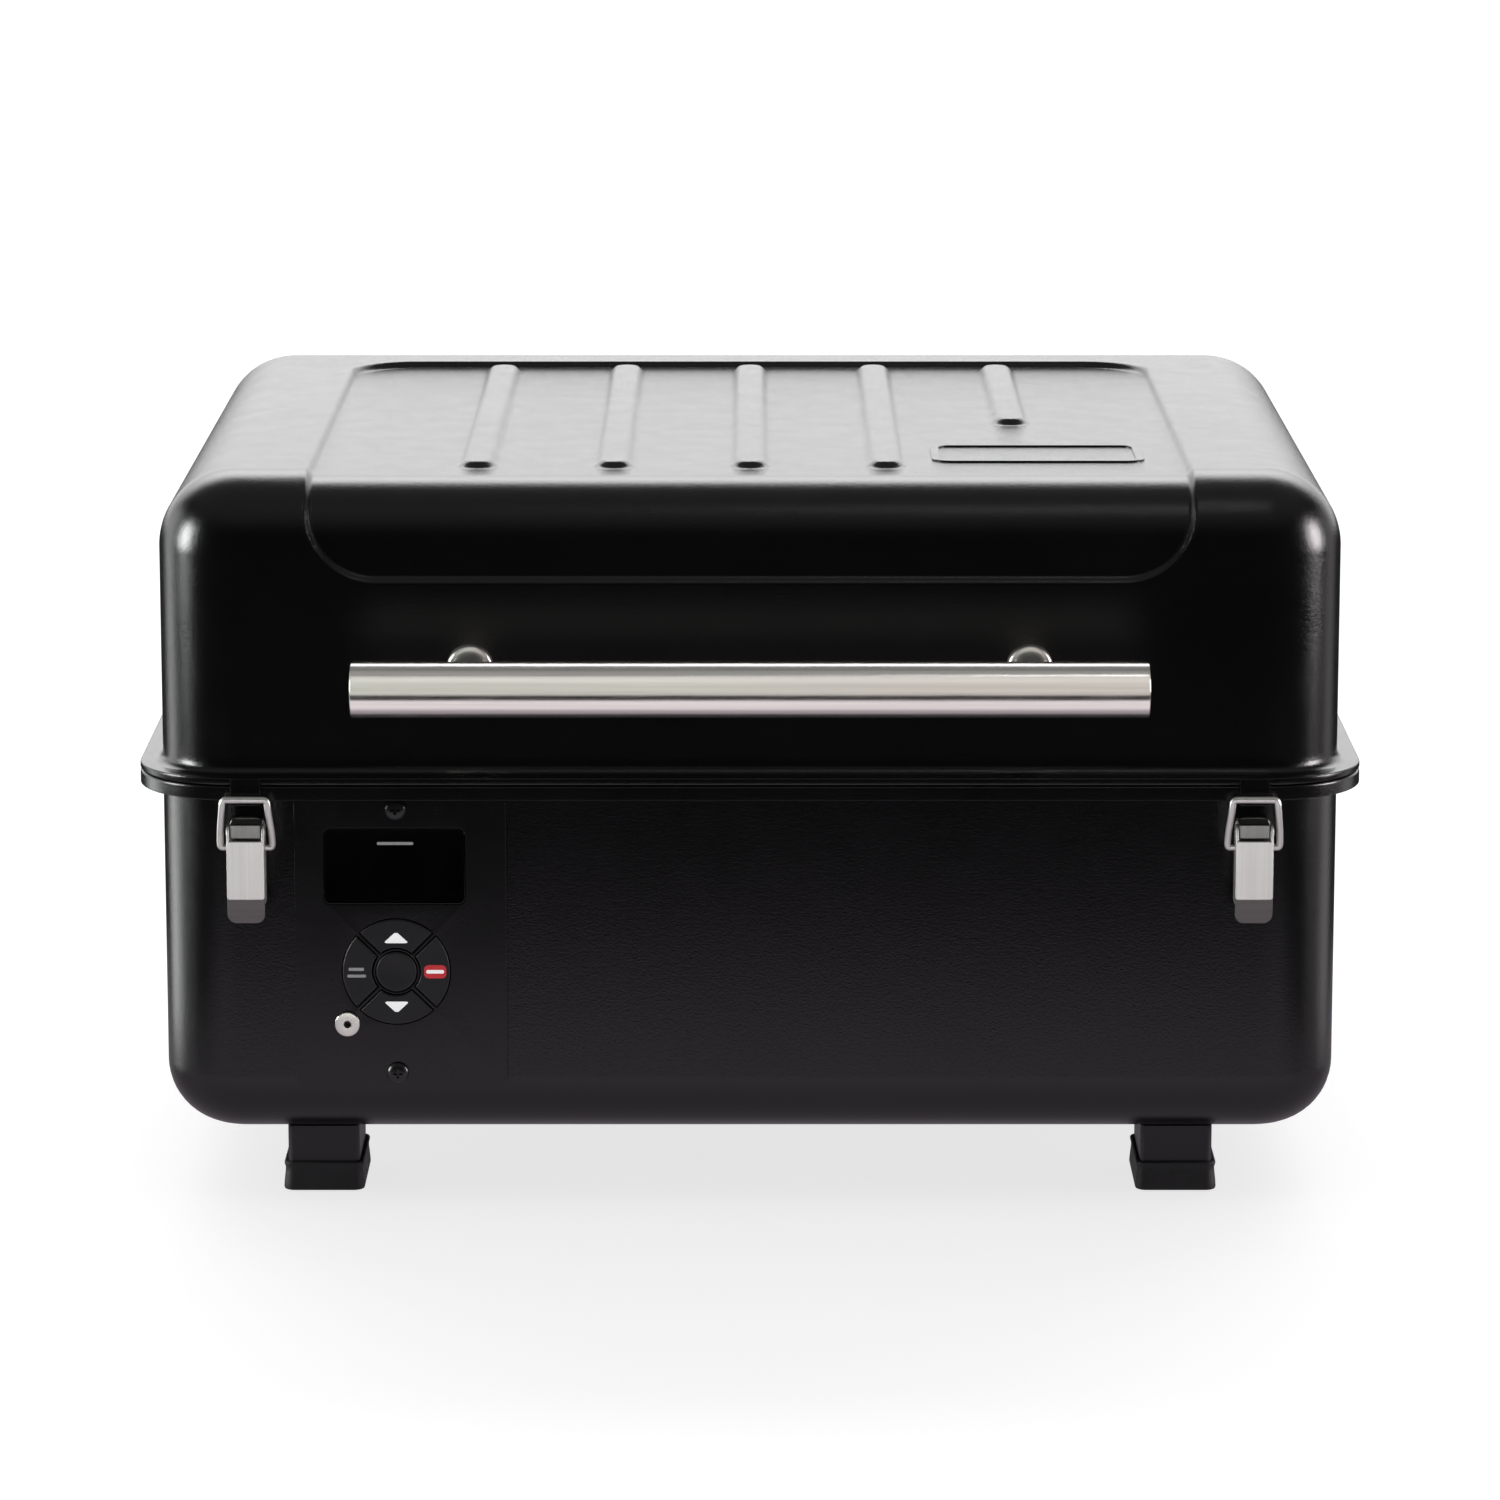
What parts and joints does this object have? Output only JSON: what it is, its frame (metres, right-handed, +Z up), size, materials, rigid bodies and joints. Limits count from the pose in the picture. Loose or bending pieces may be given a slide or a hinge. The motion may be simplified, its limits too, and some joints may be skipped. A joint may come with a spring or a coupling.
{
  "type": "pellet smoker grill",
  "caption": "Tabletop pellet smoker grill: rounded steel tub and hinged lid with a bar handle, draw latches, key panel, pellet hopper, auger, firepot and lift-out grate.",
  "frame": {"origin": "on the ground, under the middle of the bounding box", "axes": "+X to the right when facing the front, the front faces -Y, +Z up"},
  "size_m": [0.54, 0.5174, 0.325],
  "materials": {
    "black_coat": "fine-textured black powder coat",
    "panel_coat": "smooth satin black",
    "leg_coat": "satin black",
    "enamel": "gloss black enamel",
    "galvanised": "bare galvanised sheet steel",
    "brushed": "brushed along the handle",
    "latch_steel": "satin stainless",
    "probe_steel": "satin stainless",
    "zinc": "bright zinc plate",
    "screw_black": "black oxide",
    "cast": "seasoned cast iron",
    "black_plastic": "satin moulded",
    "key_plastic": "soft-touch",
    "display": "gloss black window",
    "rubber": "matt black"
  },
  "bodies": {
    "body": {"tub_shell": "black_coat", "chamber_partition": "black_coat", "hopper_deck": "black_coat", "hopper_bin": "galvanised", "control_panel": "panel_coat", "display_window": "display", "probe_jack": "zinc", "panel_screw_top": "screw_black", "panel_screw_bottom": "screw_black", "controller_case": "black_plastic", "auger_tube": "galvanised", "auger_motor": "galvanised", "fan_housing": "black_plastic", "firepot": "cast", "igniter_rod": "probe_steel", "heat_baffle": "enamel", "drip_tray": "enamel", "grease_cup": "galvanised", "grate_rail": "black_coat", "temperature_probe": "probe_steel", "exhaust_hood": "black_coat", "power_inlet": "black_plastic", "hinge_body_leaf_left": "black_coat", "hinge_pin_left": "zinc", "latch_base_left": "latch_steel", "leg_front_left": "leg_coat", "boot_front_left": "rubber", "leg_rear_left": "leg_coat", "boot_rear_left": "rubber", "hinge_body_leaf_right": "black_coat", "hinge_pin_right": "zinc", "latch_base_right": "latch_steel", "leg_front_right": "leg_coat", "boot_front_right": "rubber", "leg_rear_right": "leg_coat", "boot_rear_right": "rubber"},
    "lid": {"lid_shell": "black_coat", "handle_tube": "brushed", "handle_post_left": "brushed", "handle_post_right": "brushed", "handle_end_cap_left": "black_plastic", "handle_end_cap_right": "black_plastic", "hinge_lid_leaf_left": "black_coat", "hinge_lid_leaf_right": "black_coat", "latch_keeper_left": "black_coat", "latch_keeper_right": "black_coat"},
    "hopper_flap": {"hopper_flap": "black_coat"},
    "grate": {"cooking_grate": "cast"},
    "auger": {"auger_screw": "cast"},
    "fan": {"fan_impeller": "black_plastic"},
    "key_centre": {"key_centre": "key_plastic"},
    "key_up": {"key_up": "key_plastic"},
    "key_down": {"key_down": "key_plastic"},
    "key_left": {"key_left": "key_plastic"},
    "key_right": {"key_right": "key_plastic"},
    "latch_lever_left": {"latch_lever_left": "latch_steel"},
    "latch_bail_left": {"latch_bail_left": "latch_steel"},
    "latch_lever_right": {"latch_lever_right": "latch_steel"},
    "latch_bail_right": {"latch_bail_right": "latch_steel"}
  },
  "joints": [
    {"name": "lid_hinge", "type": "hinge", "parent": "body", "child": "lid", "pos_m": [0, 0.255, 0.1915], "axis": [-1, 0, 0], "range_deg": [0, 95]},
    {"name": "hopper_flap_hinge", "type": "hinge", "parent": "body", "child": "hopper_flap", "pos_m": [-0.243, 0.0245, 0.188], "axis": [0, -1, 0], "range_deg": [0, 70]},
    {"name": "grate_lift", "type": "slide", "parent": "body", "child": "grate", "axis": [0, 0, 1], "range_m": [0, 0.1]},
    {"name": "auger_spin", "type": "hinge", "parent": "body", "child": "auger", "pos_m": [-0.08, 0.06, 0.072], "axis": [1, 0, 0], "continuous": true},
    {"name": "fan_spin", "type": "hinge", "parent": "body", "child": "fan", "pos_m": [-0.14, -0.112, 0.046], "axis": [0, 0, 1], "continuous": true},
    {"name": "latch_lever_left_pivot", "type": "hinge", "parent": "body", "child": "latch_lever_left", "pos_m": [-0.2202, -0.203, 0.1715], "axis": [-1, 0, 0], "range_deg": [0, 120]},
    {"name": "latch_bail_left_pivot", "type": "hinge", "parent": "latch_lever_left", "child": "latch_bail_left", "pos_m": [-0.2202, -0.2, 0.164], "axis": [-1, 0, 0], "range_deg": [-130, 0]},
    {"name": "latch_lever_right_pivot", "type": "hinge", "parent": "body", "child": "latch_lever_right", "pos_m": [0.2202, -0.203, 0.1715], "axis": [-1, 0, 0], "range_deg": [0, 120]},
    {"name": "latch_bail_right_pivot", "type": "hinge", "parent": "latch_lever_right", "child": "latch_bail_right", "pos_m": [0.2202, -0.2, 0.164], "axis": [-1, 0, 0], "range_deg": [-130, 0]},
    {"name": "key_centre_press", "type": "slide", "parent": "body", "child": "key_centre", "axis": [0, 1, 0], "range_m": [0, 0.0008], "stiffness_N_per_m": 400},
    {"name": "key_up_press", "type": "slide", "parent": "body", "child": "key_up", "axis": [0, 1, 0], "range_m": [0, 0.0008], "stiffness_N_per_m": 400},
    {"name": "key_down_press", "type": "slide", "parent": "body", "child": "key_down", "axis": [0, 1, 0], "range_m": [0, 0.0008], "stiffness_N_per_m": 400},
    {"name": "key_left_press", "type": "slide", "parent": "body", "child": "key_left", "axis": [0, 1, 0], "range_m": [0, 0.0008], "stiffness_N_per_m": 400},
    {"name": "key_right_press", "type": "slide", "parent": "body", "child": "key_right", "axis": [0, 1, 0], "range_m": [0, 0.0008], "stiffness_N_per_m": 400}
  ],
  "couplings": [
    {"joint": "latch_bail_left_pivot", "follows": "latch_lever_left_pivot", "ratio": -1.0833},
    {"joint": "latch_bail_right_pivot", "follows": "latch_lever_right_pivot", "ratio": -1.0833}
  ]
}
